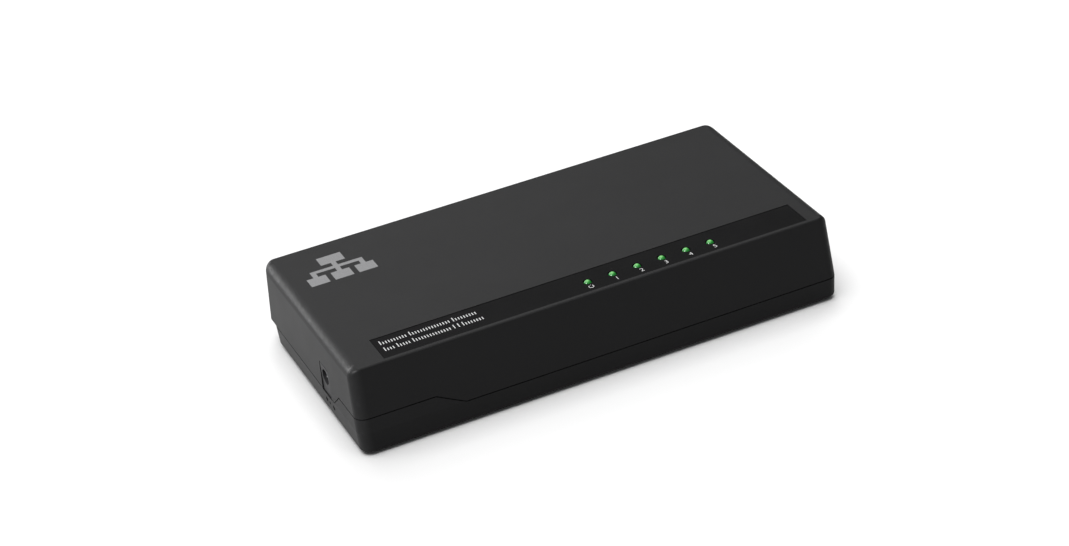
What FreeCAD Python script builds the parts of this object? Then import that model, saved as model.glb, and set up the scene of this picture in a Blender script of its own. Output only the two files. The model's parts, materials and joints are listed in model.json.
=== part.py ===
import FreeCAD, Part
import math
import os
import re
import Sketcher
from FreeCAD import Placement, Rotation, Vector

# A desktop network switch with five sockets at the back: a two-part plastic case
# on rubber feet, an indicator strip along the front of its top, and the circuit
# board inside with its sockets, chips and power inlet.
#
# Frame: X to the right, Y from the indicator side to the socket side, Z up, in
# millimetres. The origin is on the surface that the feet stand on, under the
# middle of the case. Most sub-parts are drawn in the case frame, whose y starts
# at the front parting edge and whose z starts at the tray's underside; their
# Placement carries them into the part's frame. Repeated pieces are drawn once
# about their own origin and placed as often as they occur.

SIZES = {
    # outer form of the case
    "case_width": 130.0,
    "case_depth": 67.0,
    "case_height": 22.3,
    "parting_z": 5.7,
    "side_draft": 0.65,
    "front_lean": 2.27,
    "back_lean": 1.6,
    "tray_side_draft": 0.3,
    "tray_front_draft": 0.18,
    "tray_back_y": 63.2,
    "corner_round": 2.9,
    "side_round": 2.6,
    "front_round": 0.55,
    "back_round": 0.8,
    "tray_round": 0.9,
    # walls and the parting seam; past is how far a cut runs beyond a face
    "wall": 2.0,
    "roof": 2.0,
    "tray_floor": 2.0,
    "seam_gap": 0.3,
    "tongue_inset": 1.1,
    "tongue_height": 1.4,
    "tongue_play": 0.12,
    "tongue_back_y": 60.5,
    "jog_top_z": 9.4,
    "jog_top_x": -44.7,
    "jog_foot_x": -37.4,
    "jog_top_y": 13.4,
    "jog_foot_y": 17.6,
    "tongue_root": 0.8,
    "rebate_reach": 3.0,
    "ledge_inset": 1.0,
    "ledge_depth": 3.2,
    "ledge_height": 1.2,
    "sill_drop": 0.15,
    "port_sill_margin": 0.5,
    "past": 1.0,
    # rubber feet, label and case screws
    "foot_x": 54.0,
    "foot_front_y": 9.0,
    "foot_rear_y": 54.0,
    "foot_radius": 4.0,
    "foot_height": 1.3,
    "foot_proud": 0.7,
    "foot_round": 0.35,
    "foot_play": 0.25,
    "label_length": 46.0,
    "label_width": 27.0,
    "label_middle_y": 33.0,
    "label_thick": 0.12,
    "label_recess": 0.2,
    "label_margin": 0.5,
    "screw_front_x": 44.0,
    "screw_front_y": 9.0,
    "screw_rear_x": 54.0,
    "screw_rear_y": 43.0,
    "screw_head_radius": 2.3,
    "screw_head_height": 1.0,
    "screw_shank_radius": 1.1,
    "screw_length": 8.5,
    "screw_sink": 1.2,
    "screw_sink_radius": 2.7,
    "screw_slot_length": 2.6,
    "screw_slot_width": 0.55,
    "screw_slot_depth": 0.6,
    "boss_radius": 2.8,
    "boss_pilot_radius": 1.15,
    "boss_lift": 0.1,
    "screw_way_play": 0.2,
    "boss_pilot_depth": 8.0,
    "pad_radius": 3.7,
    # indicator strip and light pipe
    "strip_left_x": -55.0,
    "strip_right_x": 58.9,
    "strip_front_y": 3.5,
    "strip_back_y": 13.4,
    "strip_recess": 0.35,
    "strip_thick": 0.25,
    "strip_play": 0.15,
    "led_count": 6,
    "led_first_x": 0.44,
    "led_pitch": 6.73,
    "led_y": 8.2,
    "led_hole_radius": 1.2,
    "lamp_length": 2.0,
    "lamp_width": 1.25,
    "lamp_height": 0.8,
    "pipe_radius": 0.98,
    "pipe_tip_proud": 0.3,
    "pipe_foot_z": 6.7,
    "pipe_bar_z": 14.0,
    "pipe_bar_thick": 2.0,
    "pipe_bar_width": 3.4,
    "pipe_bar_margin": 3.0,
    "peg_radius": 0.7,
    "peg_play": 0.1,
    "peg_collar_radius": 1.5,
    "peg_collar_lift": 0.05,
    "peg_length": 2.6,
    # circuit board
    "board_bottom_z": 3.8,
    "board_thick": 1.6,
    "board_half_width": 62.0,
    "board_front_y": 3.0,
    "board_back_y": 60.5,
    "board_boss_play": 0.3,
    "board_tail_play": 0.2,
    "board_screw_x": 57.0,
    "board_screw_front_y": 9.0,
    "board_screw_rear_y": 34.0,
    "board_screw_hole_radius": 1.2,
    "board_screw_head_radius": 2.1,
    "board_screw_head_height": 1.1,
    "board_screw_shank_radius": 0.85,
    "board_screw_length": 4.2,
    "standoff_radius": 2.5,
    "standoff_pilot_radius": 0.9,
    "standoff_pilot_depth": 2.8,
    # chips and small components
    "chip_side": 14.0,
    "chip_height": 1.4,
    "chip_lift": 0.1,
    "chip_middle_y": 21.0,
    "chip_lead_count": 16,
    "chip_lead_pitch": 0.8,
    "chip_lead_width": 0.3,
    "chip_lead_reach": 1.1,
    "chip_lead_thick": 0.25,
    "pad_side": 12.0,
    "pad_thick": 0.3,
    "sink_side": 18.0,
    "sink_base": 1.6,
    "sink_height": 7.0,
    "sink_fin_thick": 1.0,
    "sink_fin_count": 7,
    "magnetics_length": 15.2,
    "magnetics_width": 9.6,
    "magnetics_height": 5.6,
    "magnetics_y": 37.6,
    "magnetics_chamfer": 0.5,
    # sockets
    "port_count": 5,
    "port_pitch": 18.0,
    "port_face_y": 65.7,
    "port_half_width": 7.95,
    "port_height": 13.4,
    "port_depth": 21.25,
    "port_window_play": 0.2,
    "shield_thick": 0.25,
    "shield_edge": 0.15,
    "mouth_half": 5.95,
    "mouth_low": 4.2,
    "mouth_high": 10.9,
    "mouth_depth": 14.0,
    "latch_half": 3.15,
    "latch_low": 2.6,
    "key_half": 2.1,
    "key_low": 1.0,
    "wire_count": 8,
    "wire_pitch": 1.02,
    "wire_width": 0.35,
    "wire_thick": 0.3,
    "wire_length": 8.3,
    "wire_slope": 19.0,
    "wire_bend_y": -3.0,
    "wire_bend_z": 11.75,
    "comb_half": 4.4,
    "comb_front_y": -1.6,
    "comb_top": 12.65,
    "comb_overlap": 0.2,
    "comb_reach": 0.5,
    "tail_room_front_y": -16.0,
    "tail_room_back_y": -20.5,
    "tail_run_z": 12.15,
    "tail_front_y": -2.45,
    "tail_hook_low": 11.6,
    "tail_row_y": -17.2,
    "tail_row_step": 2.54,
    "tail_below": 2.5,
    "tail_hole_radius": 0.4,
    "locator_x": 6.0,
    "locator_y": -9.0,
    "locator_radius": 1.55,
    "locator_length": 2.3,
    "locator_play": 0.1,
    # power inlet
    "inlet_y": 22.8,
    "inlet_z": 10.3,
    "inlet_face_x": -64.65,
    "inlet_half_width": 3.0,
    "inlet_length": 11.0,
    "inlet_top_z": 13.2,
    "inlet_front_gap": 0.35,
    "inlet_rear_gap": 0.1,
    "inlet_top_gap": 0.3,
    "inlet_sill_play": 0.15,
    "inlet_tongue_play": 0.7,
    "inlet_bore_radius": 2.05,
    "inlet_bore_depth": 9.4,
    "inlet_pin_radius": 0.65,
    "inlet_pin_back": 0.4,
    "inlet_slot_front": 2.4,
    "inlet_slot_low_z": 7.05,
    "inlet_slot_half": 1.2,
    "leaf_length": 6.0,
    "leaf_half_width": 0.95,
    "leaf_thick": 0.25,
    "leaf_root": 9.0,
    "leaf_root_z": 7.75,
    "leaf_slope": 7.0,
    "inlet_tail_width": 1.8,
    "inlet_tail_thick": 0.3,
    "inlet_tail_below": 2.5,
    "inlet_tail_back": 1.0,
    "inlet_tail_middle": 4.5,
    "inlet_tail_side": 7.0,
    "inlet_tail_edge": 0.6,
}

# Block-shaped board components: middle x and y on the board, then length along
# x, width along y and height, all in millimetres.
CHIPS = {
    "crystal": (17.0, 21.0, 4.7, 11.2, 3.4),
    "eeprom_chip": (-17.0, 17.0, 3.9, 4.9, 1.5),
    "regulator_chip": (-38.0, 17.0, 6.5, 6.2, 1.7),
    "power_inductor": (-38.0, 27.0, 7.0, 7.0, 4.0),
}
CAPACITORS = ((-49.0, 37.0), (-30.0, 21.0), (34.0, 22.0))
CAPACITOR_RADIUS = 3.15
CAPACITOR_HEIGHT = 7.7
CAPACITOR_BASE = 6.6
CAPACITOR_BASE_HEIGHT = 1.2
SMALL_LENGTH = 1.6
SMALL_WIDTH = 0.8
SMALL_HEIGHT = 0.55
RESISTOR_Y = 10.6
BYPASS_REACH = 11.5
BYPASS_STEP = 5.0

# Where a screw head narrows: shares of its radius and of its height.
HEAD_CROWN = 0.75
HEAD_FLANK = 0.55

NEARLY_ZERO = 1e-6

doc = FreeCAD.newDocument("NetworkSwitch")
sheet = doc.addObject("Spreadsheet::Sheet", "Sizes")
for row, (alias, size) in enumerate(SIZES.items(), start=1):
    sheet.set(f"A{row}", alias)
    sheet.set(f"B{row}", str(size))
    sheet.setAlias(f"B{row}", alias)
doc.recompute()

sub_parts = []


def cells(expression):
    """The expression with each size's name pointing at its cell in the sheet."""
    def point(match):
        word = match.group()
        return f"Sizes.{word}" if word in SIZES else word
    return re.sub(r"[A-Za-z_]\w*", point, str(expression))


def bind(target, **expressions):
    """Bind properties to the sheet; a double underscore stands for a dot."""
    for name, expression in expressions.items():
        target.setExpression(name.replace("__", "."), cells(expression))


def place(target, x=0, y=0, z=0):
    """Bind the place of an object's origin."""
    bind(target, Placement__Base__x=x, Placement__Base__y=y, Placement__Base__z=z)


def box(name, x, y, z):
    """A block between the low and high ends that x, y and z each name."""
    block = doc.addObject("Part::Box", name)
    bind(
        block,
        Length=f"({x[1]}) - ({x[0]})",
        Width=f"({y[1]}) - ({y[0]})",
        Height=f"({z[1]}) - ({z[0]})",
    )
    place(block, x[0], y[0], z[0])
    return block


def around(middle, size):
    """The two ends of a length centred on a middle."""
    return f"({middle}) - ({size}) / 2", f"({middle}) + ({size}) / 2"


def cylinder(name, x, y, z, radius):
    """An upright cylinder between the two heights in z."""
    rod = doc.addObject("Part::Cylinder", name)
    bind(rod, Radius=radius, Height=f"({z[1]}) - ({z[0]})")
    place(rod, x, y, z[0])
    return rod


def lying_cylinder(name, x, y, z, radius):
    """A cylinder along X between the two places in x."""
    rod = doc.addObject("Part::Cylinder", name)
    rod.Placement = Placement(Vector(), Rotation(Vector(0, 1, 0), 90))
    bind(rod, Radius=radius, Height=f"({x[1]}) - ({x[0]})")
    place(rod, x[0], y, z)
    return rod


def joined(name, pieces):
    """Several solids as one object; those that touch become one solid."""
    fusion = doc.addObject("Part::MultiFuse", name)
    fusion.Shapes = pieces
    fusion.Refine = True
    return fusion


def cut(name, base, tools):
    """A base with one or more tools taken away."""
    removal = doc.addObject("Part::Cut", name)
    removal.Base = base
    removal.Tool = tools[0] if len(tools) == 1 else joined(f"{name}_tools", tools)
    removal.Refine = True
    return removal


def shared(name, first, second):
    """The space that two solids have in common."""
    meeting = doc.addObject("Part::Common", name)
    meeting.Base = first
    meeting.Tool = second
    return meeting


def copied(template, name):
    """One more occurrence of a template, with a Placement of its own."""
    occurrence = doc.addObject("Part::Compound", name)
    occurrence.Links = [template]
    return occurrence


def finished(target, label, x=0, y=0, z=0):
    """Name a sub-part and carry it from the case frame into the part's frame."""
    target.Label = label
    place(target, x, f"({y}) - case_depth / 2", f"({z}) + foot_proud")
    sub_parts.append(target)
    return target


def edge_numbers(shape, wanted):
    """The numbers of the edges that a test picks out."""
    return [number for number, edge in enumerate(shape.Edges, start=1) if wanted(edge)]


def rounded(name, base, radii):
    """Round edges of a base; radii gives (edge number, first radius, last radius)."""
    rounding = doc.addObject("Part::Fillet", name)
    rounding.Base = base
    rounding.Edges = radii
    doc.recompute()
    return rounding


# Sketches and bodies


def new_body(name):
    return doc.addObject("PartDesign::Body", name)


def new_sketch(body, name, role, offset="0"):
    """A sketch on one of its body's origin planes, moved along the plane's normal."""
    sketch = body.newObject("Sketcher::SketchObject", name)
    plane = next(item for item in body.Origin.OriginFeatures if item.Role == role)
    sketch.AttachmentSupport = (plane, [""])
    sketch.MapMode = "FlatFace"
    bind(sketch, AttachmentOffset__Base__z=offset)
    return sketch


def add_outline(sketch, corners):
    """A closed polygon whose corners are pairs of expressions."""
    first = sketch.GeometryCount
    count = len(corners)
    start = [
        Vector(math.cos(2 * math.pi * turn / count), math.sin(2 * math.pi * turn / count), 0)
        for turn in range(count)
    ]
    for turn in range(count):
        sketch.addGeometry(Part.LineSegment(start[turn], start[(turn + 1) % count]))
    for turn in range(count):
        following = first + (turn + 1) % count
        sketch.addConstraint(Sketcher.Constraint("Coincident", first + turn, 2, following, 1))
    for turn, corner in enumerate(corners):
        for kind, place_along in zip(("DistanceX", "DistanceY"), corner):
            number = sketch.addConstraint(Sketcher.Constraint(kind, first + turn, 1, 1.0))
            sketch.setExpression(f"Constraints[{number}]", cells(place_along))


def add_rectangle(sketch, x, y):
    add_outline(sketch, ((x[0], y[0]), (x[1], y[0]), (x[1], y[1]), (x[0], y[1])))


def add_circle(sketch, x, y, radius):
    number = sketch.addGeometry(Part.Circle(Vector(1, 1, 0), Vector(0, 0, 1), 1.0))
    sizes = (
        Sketcher.Constraint("Radius", number, 1.0),
        Sketcher.Constraint("DistanceX", number, 3, 1.0),
        Sketcher.Constraint("DistanceY", number, 3, 1.0),
    )
    for constraint, expression in zip(sizes, (radius, x, y)):
        held = sketch.addConstraint(constraint)
        sketch.setExpression(f"Constraints[{held}]", cells(expression))


def pad(body, sketch, length):
    feature = body.newObject("PartDesign::Pad", f"{sketch.Name}_pad")
    feature.Profile = sketch
    bind(feature, Length=length)
    body.Tip = feature
    doc.recompute()
    return feature


def pocket(body, sketch, length, reverse=False):
    """Cut a sketch into its body, and stop if nothing was cut."""
    before = body.Shape.Volume
    feature = body.newObject("PartDesign::Pocket", f"{sketch.Name}_pocket")
    feature.Profile = sketch
    feature.Reversed = reverse
    bind(feature, Length=length)
    body.Tip = feature
    doc.recompute()
    if body.Shape.Volume >= before:
        raise ValueError(f"{feature.Name} cuts nothing")
    return feature


def revolve(body, sketch):
    """Turn a sketch about the upright axis of its plane."""
    feature = body.newObject("PartDesign::Revolution", f"{sketch.Name}_turned")
    feature.Profile = sketch
    feature.ReferenceAxis = (sketch, ["V_Axis"])
    feature.Angle = 360
    body.Tip = feature
    doc.recompute()
    return feature


def repeat(body, feature, sketch, length, occurrences):
    """Repeat a feature along the sketch's first axis over a length."""
    pattern = body.newObject("PartDesign::LinearPattern", f"{feature.Name}_row")
    pattern.Originals = [feature]
    pattern.Direction = (sketch, ["H_Axis"])
    bind(pattern, Length=length, Occurrences=occurrences)
    body.Tip = pattern
    doc.recompute()
    return pattern


def soften(body, radius, wanted):
    """Round the edges of a body that a test picks out."""
    base = body.Tip
    numbers = edge_numbers(base.Shape, wanted)
    feature = body.newObject("PartDesign::Fillet", f"{body.Name}_fillet")
    feature.Base = (base, [f"Edge{number}" for number in numbers])
    bind(feature, Radius=radius)
    body.Tip = feature
    doc.recompute()
    return feature


# Outer form of the case


def leaned(amount, z):
    """How far a leaning wall of the upper form stands in at a height."""
    return f"({amount}) * (({z}) - parting_z) / (case_height - parting_z)"


def tapered(name, low, high, z):
    """A block between two rectangles, each given as half width, front and back."""
    wedge = doc.addObject("Part::Wedge", name)
    wedge.Placement = Placement(Vector(), Rotation(Vector(1, 0, 0), 90))
    bind(
        wedge,
        Ymin=z[0], Xmin=f"-({low[0]})", Xmax=low[0], Zmin=f"-({low[2]})", Zmax=f"-({low[1]})",
        Ymax=z[1], X2min=f"-({high[0]})", X2max=high[0], Z2min=f"-({high[2]})", Z2max=f"-({high[1]})",
    )
    return wedge


def inner_form(name, inset, z, back=None):
    """The upper form drawn in by an inset, between two heights."""
    ends = []
    for height in z:
        half = f"case_width / 2 - ({inset}) - {leaned('side_draft', height)}"
        front = f"({inset}) + {leaned('front_lean', height)}"
        rear = back or f"case_depth - ({inset}) - {leaned('back_lean', height)}"
        ends.append((half, front, rear))
    return tapered(name, ends[0], ends[1], z)


def rounded_section(name, half, front, back, z):
    """A level rectangle with four rounded corners, as a sketch at a height."""
    section = doc.addObject("Sketcher::SketchObject", name)
    bind(section, Placement__Base__z=z)
    quarter = math.pi / 2
    turns = ((-1, -1), (1, -1), (1, 1), (-1, 1))
    middle = Vector(0, sheet.case_depth / 2, 0)
    centres = [
        middle + Vector(side * sheet.case_width / 2, end * sheet.case_depth / 2, 0)
        - Vector(side, end, 0) * sheet.corner_round
        for side, end in turns
    ]
    for number, centre in enumerate(centres):
        circle = Part.Circle(centre, Vector(0, 0, 1), sheet.corner_round)
        section.addGeometry(Part.ArcOfCircle(circle, (number + 2) * quarter, (number + 3) * quarter))
    for number in range(4):
        leaving = section.Geometry[number].EndPoint
        reaching = section.Geometry[(number + 1) % 4].StartPoint
        section.addGeometry(Part.LineSegment(leaving, reaching))
    for number, (side, end) in enumerate(turns):
        following = (number + 1) % 4
        section.addConstraint(Sketcher.Constraint("Tangent", number, 2, number + 4, 1))
        section.addConstraint(Sketcher.Constraint("Tangent", number + 4, 2, following, 1))
        edge_y = back if end > 0 else front
        for kind, drawn, expression in (
            (("DistanceX", number, 3), centres[number].x, f"{side} * (({half}) - corner_round)"),
            (("DistanceY", number, 3), centres[number].y, f"({edge_y}) - {end} * corner_round"),
            (("Radius", number), sheet.corner_round, "corner_round"),
        ):
            held = section.addConstraint(Sketcher.Constraint(*kind, drawn))
            section.setExpression(f"Constraints[{held}]", cells(expression))
    return section


def lofted(name, low, high):
    """A solid between two level sections."""
    form = doc.addObject("Part::Loft", name)
    form.Sections = [low, high]
    form.Solid = True
    form.Ruled = True
    doc.recompute()
    return form


def lies_at(z):
    return lambda edge: edge.BoundBox.ZLength < NEARLY_ZERO and abs(edge.BoundBox.ZMin - z) < NEARLY_ZERO


def top_radii(shape):
    """Edge radii round the top face: full at the sides, tight at front and back."""
    radii = []
    for number in edge_numbers(shape, lies_at(sheet.case_height)):
        edge = shape.Edges[number - 1]
        ends = [edge.valueAt(edge.FirstParameter), edge.valueAt(edge.LastParameter)]
        middle = (ends[0] + ends[1]) / 2
        tight = sheet.front_round if middle.y < sheet.case_depth / 2 else sheet.back_round
        spans_y = abs(ends[0].y - ends[1].y)
        spans_x = abs(ends[0].x - ends[1].x)
        if spans_y < NEARLY_ZERO:
            pair = (tight, tight)
        elif spans_x < NEARLY_ZERO:
            pair = (sheet.side_round, sheet.side_round)
        elif abs(ends[0].x) > abs(ends[1].x):
            pair = (sheet.side_round, tight)
        else:
            pair = (tight, sheet.side_round)
        radii.append((number, *pair))
    return radii


def seam_block(name, rise):
    """All that lies under the parting surface, with its raised corner, lifted by a rise."""
    slab = box(
        f"{name}_slab",
        ("-case_width", "case_width"),
        ("-case_depth", "2 * case_depth"),
        ("-case_height", f"parting_z + ({rise})"),
    )
    corner = doc.addObject("Part::Wedge", f"{name}_corner")
    corner.Placement = Placement(Vector(), Rotation(Vector(1, 0, 0), 90))
    bind(
        corner,
        Ymin=f"parting_z + ({rise})", Xmin="-case_width", Xmax="jog_foot_x",
        Zmin="-jog_foot_y", Zmax="case_depth",
        Ymax=f"jog_top_z + ({rise})", X2min="-case_width", X2max="jog_top_x",
        Z2min="-jog_top_y", Z2max="case_depth",
    )
    return joined(name, [slab, corner])


parting_section = rounded_section("PartingSection", "case_width / 2", "0", "case_depth", "parting_z")
top_section = rounded_section(
    "TopSection", "case_width / 2 - side_draft", "front_lean", "case_depth - back_lean", "case_height",
)
upper_blank = lofted("UpperBlank", parting_section, top_section)
upper_form = rounded("UpperForm", upper_blank, top_radii(upper_blank.Shape))

tray_low_section = rounded_section(
    "TrayLowSection",
    "case_width / 2 - tray_side_draft", "tray_front_draft", "tray_back_y - tray_side_draft", "0",
)
tray_high_section = rounded_section("TrayHighSection", "case_width / 2", "0", "tray_back_y", "parting_z")
tray_blank = lofted("TrayBlank", tray_low_section, tray_high_section)
tray_radii = [
    (number, sheet.tray_round, sheet.tray_round)
    for number in edge_numbers(tray_blank.Shape, lies_at(0))
]
tray_form = rounded("TrayForm", tray_blank, tray_radii)


# Places of the screws, feet and light-pipe pegs

SCREW_PLACES = (
    ("-screw_front_x", "screw_front_y"),
    ("screw_front_x", "screw_front_y"),
    ("-screw_rear_x", "screw_rear_y"),
    ("screw_rear_x", "screw_rear_y"),
)
BOARD_SCREW_PLACES = (
    ("-board_screw_x", "board_screw_front_y"),
    ("board_screw_x", "board_screw_front_y"),
    ("-board_screw_x", "board_screw_rear_y"),
    ("board_screw_x", "board_screw_rear_y"),
)
FOOT_PLACES = {
    "foot_front_left": ("-foot_x", "foot_front_y"),
    "foot_front_right": ("foot_x", "foot_front_y"),
    "foot_rear_left": ("-foot_x", "foot_rear_y"),
    "foot_rear_right": ("foot_x", "foot_rear_y"),
}
LED_PLACES = [f"led_first_x + {number} * led_pitch" for number in range(int(sheet.led_count))]
PEG_PLACES = [f"led_first_x + {number} * led_pitch" for number in (0.5, 4.5)]
PORT_PLACES = [
    f"({number} - (port_count - 1) / 2) * port_pitch" for number in range(int(sheet.port_count))
]
BOARD_TOP = "board_bottom_z + board_thick"
ROOF_UNDER = "case_height - roof"


# Upper shell


def make_upper_shell():
    """The cover: hollow, stepped at the seam, with bosses, pegs and openings."""
    cavity = inner_form("UpperCavity", "wall", ("parting_z", ROOF_UNDER))
    hollow = cut("UpperHollow", upper_form, [cavity])
    rebate = shared(
        "TongueRebate",
        inner_form(
            "RebateForm", "tongue_inset - tongue_play",
            ("parting_z - past", "jog_top_z + rebate_reach"), "tongue_back_y + tongue_play",
        ),
        seam_block("RebateSeam", "seam_gap / 2 + tongue_height"),
    )
    walls = cut("UpperWalls", hollow, [rebate, seam_block("UpperSeam", "seam_gap / 2")])

    roof_middle = "case_height - roof / 2"
    bar_top = "pipe_bar_z + pipe_bar_thick"
    additions = [box(
        "BackLedge",
        ("ledge_inset - case_width / 2", "case_width / 2 - ledge_inset"),
        ("case_depth - wall - ledge_depth", "case_depth - wall / 2"),
        ("parting_z + seam_gap / 2", "parting_z + ledge_height"),
    )]
    for number, (x, y) in enumerate(SCREW_PLACES, start=1):
        span = ("board_bottom_z + boss_lift", roof_middle)
        additions.append(cylinder(f"Boss{number}", x, y, span, "boss_radius"))
    for number, x in enumerate(PEG_PLACES, start=1):
        collar = (f"{bar_top} + peg_collar_lift", roof_middle)
        peg = (f"{bar_top} - peg_length", roof_middle)
        additions.append(cylinder(f"PegCollar{number}", x, "led_y", collar, "peg_collar_radius"))
        additions.append(cylinder(f"Peg{number}", x, "led_y", peg, "peg_radius"))
    whole = joined("UpperWhole", [walls] + additions)

    tools = [box(
        "StripRecess",
        ("strip_left_x", "strip_right_x"),
        ("strip_front_y", "strip_back_y"),
        ("case_height - strip_recess", "case_height + past"),
    )]
    for number, (x, y) in enumerate(SCREW_PLACES, start=1):
        span = ("0", "board_bottom_z + boss_pilot_depth")
        tools.append(cylinder(f"BossPilot{number}", x, y, span, "boss_pilot_radius"))
    for number, x in enumerate(LED_PLACES, start=1):
        span = ("case_height - 2 * roof", "case_height + past")
        tools.append(cylinder(f"LedHole{number}", x, "led_y", span, "led_hole_radius"))
    for number, x in enumerate(PORT_PLACES, start=1):
        tools.append(box(
            f"PortWindow{number}",
            around(x, "2 * (port_half_width + port_window_play)"),
            ("case_depth - 3 * wall", "case_depth + wall"),
            ("0", f"{BOARD_TOP} + port_height + port_window_play"),
        ))
    tools.append(box(
        "InletWindow",
        ("-case_width / 2 - wall", "-case_width / 2 + 1.5 * wall"),
        ("inlet_y - inlet_half_width - inlet_front_gap", "inlet_y + inlet_half_width + inlet_rear_gap"),
        ("0", "inlet_top_z + inlet_top_gap"),
    ))
    return finished(cut("UpperShell", whole, tools), "upper_shell")


# Lower shell


def make_lower_shell():
    """The tray: floor, low walls with a raised corner, tongue, pads and recesses."""
    outer = joined("TrayOuter", [tray_form, upper_form])
    outside = shared("TrayOutside", outer, seam_block("TraySeam", "-seam_gap / 2"))
    low_cavity = tapered(
        "TrayCavity",
        (
            "case_width / 2 - wall - tray_side_draft", "wall + tray_front_draft",
            "tray_back_y - wall - tray_side_draft",
        ),
        ("case_width / 2 - wall", "wall", "tray_back_y - wall"),
        ("tray_floor", "parting_z"),
    )
    high_cavity = inner_form("TrayHighCavity", "wall", ("parting_z", "case_height"))
    walls = cut("TrayWalls", outside, [low_cavity, high_cavity])

    tongue_span = ("parting_z - tongue_root", "jog_top_z + rebate_reach")
    tongue_ring = cut(
        "TongueRing",
        inner_form("TongueOuter", "tongue_inset", tongue_span, "tongue_back_y"),
        [inner_form("TongueInner", "wall", tongue_span, "case_depth")],
    )
    tongue_gap = box(
        "TongueGap",
        ("-case_width", "-case_width / 4"),
        around("inlet_y", "2 * (inlet_half_width + inlet_tongue_play)"),
        ("0", "case_height"),
    )
    tongue = cut(
        "Tongue",
        shared("TongueLow", tongue_ring, seam_block("TongueSeam", "tongue_height - seam_gap / 2")),
        [tongue_gap],
    )

    additions = [tongue]
    for number, (x, y) in enumerate(SCREW_PLACES, start=1):
        span = ("tray_floor / 2", "board_bottom_z")
        additions.append(cylinder(f"ScrewPad{number}", x, y, span, "pad_radius"))
    for number, (x, y) in enumerate(BOARD_SCREW_PLACES, start=1):
        span = ("tray_floor / 2", "board_bottom_z")
        additions.append(cylinder(f"Standoff{number}", x, y, span, "standoff_radius"))
    whole = joined("TrayWhole", [walls] + additions)

    tools = []
    for number, (x, y) in enumerate(SCREW_PLACES, start=1):
        way_radius = "boss_pilot_radius + screw_way_play"
        tools.append(cylinder(f"ScrewWay{number}", x, y, ("-past", "case_height"), way_radius))
        tools.append(cylinder(f"ScrewSink{number}", x, y, ("-past", "screw_sink"), "screw_sink_radius"))
    for number, (x, y) in enumerate(BOARD_SCREW_PLACES, start=1):
        span = ("board_bottom_z - standoff_pilot_depth", "case_height")
        tools.append(cylinder(f"StandoffPilot{number}", x, y, span, "standoff_pilot_radius"))
    for label, (x, y) in FOOT_PLACES.items():
        span = ("-past", "foot_height - foot_proud")
        tools.append(cylinder(f"Recess_{label}", x, y, span, "foot_radius + foot_play"))
    tools.append(box(
        "LabelRecess",
        around("0", "label_length"),
        around("label_middle_y", "label_width"),
        ("-past", "label_recess"),
    ))
    tools.append(box(
        "PortSill",
        around("0", "port_count * port_pitch + 2 * port_sill_margin"),
        ("tray_back_y - 2 * wall", "tray_back_y + wall"),
        (f"{BOARD_TOP} - sill_drop", "case_height"),
    ))
    tools.append(box(
        "InletSill",
        ("-case_width / 2 - wall", "-case_width / 2 + 1.5 * wall"),
        around("inlet_y", "2 * (inlet_half_width + inlet_sill_play)"),
        (f"{BOARD_TOP} - sill_drop", "case_height"),
    ))
    return finished(cut("LowerShell", whole, tools), "lower_shell")


# Feet, label and screws


def make_feet():
    body = new_body("FootModel")
    profile = new_sketch(body, "FootProfile", "XZ_Plane")
    add_rectangle(profile, ("0", "foot_radius"), ("0", "foot_height"))
    revolve(body, profile)
    soften(body, "foot_round", lies_at(0))
    for label, (x, y) in FOOT_PLACES.items():
        finished(copied(body, f"Placed_{label}"), label, x, y, "-foot_proud")


def make_label():
    body = new_body("LabelBody")
    outline = new_sketch(body, "LabelOutline", "XY_Plane", "label_recess - label_thick")
    add_rectangle(
        outline,
        around("0", "label_length - 2 * label_margin"),
        around("label_middle_y", "label_width - 2 * label_margin"),
    )
    pad(body, outline, "label_thick")
    finished(body, "rating_label")


def make_screw_model(name, head_radius, head_height, shank_radius, length):
    """A pan-head screw pointing up, head underneath, its seat at z = 0."""
    body = new_body(name)
    profile = new_sketch(body, f"{name}Profile", "XZ_Plane")
    add_outline(profile, (
        ("0", f"-({head_height})"),
        (f"{HEAD_CROWN} * ({head_radius})", f"-({head_height})"),
        (head_radius, f"-{HEAD_FLANK} * ({head_height})"),
        (head_radius, "0"),
        (shank_radius, "0"),
        (shank_radius, f"({length}) - ({shank_radius})"),
        ("0", length),
    ))
    revolve(body, profile)
    cross = new_sketch(body, f"{name}Cross", "XY_Plane", f"-({head_height})")
    long_side = around("0", "screw_slot_length")
    short_side = around("0", "screw_slot_width")
    add_outline(cross, (
        (long_side[0], short_side[0]), (short_side[0], short_side[0]),
        (short_side[0], long_side[0]), (short_side[1], long_side[0]),
        (short_side[1], short_side[0]), (long_side[1], short_side[0]),
        (long_side[1], short_side[1]), (short_side[1], short_side[1]),
        (short_side[1], long_side[1]), (short_side[0], long_side[1]),
        (short_side[0], short_side[1]), (long_side[0], short_side[1]),
    ))
    pocket(body, cross, "screw_slot_depth", reverse=True)
    return body


def make_case_screws():
    model = make_screw_model(
        "CaseScrew", "screw_head_radius", "screw_head_height", "screw_shank_radius", "screw_length",
    )
    screws = []
    for number, (x, y) in enumerate(SCREW_PLACES, start=1):
        screw = copied(model, f"CaseScrew{number}")
        place(screw, x, y, "screw_sink")
        screws.append(screw)
    finished(joined("CaseScrews", screws), "case_screws")


def make_board_screws():
    model = make_screw_model(
        "BoardScrew", "board_screw_head_radius", "board_screw_head_height",
        "board_screw_shank_radius", "board_screw_length",
    )
    screws = []
    for number, (x, y) in enumerate(BOARD_SCREW_PLACES, start=1):
        screw = copied(model, f"BoardScrew{number}")
        screw.Placement = Placement(Vector(), Rotation(Vector(1, 0, 0), 180))
        place(screw, x, y, BOARD_TOP)
        screws.append(screw)
    finished(joined("BoardScrews", screws), "board_screws")


# Indicator strip, light pipe and lamps


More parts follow.
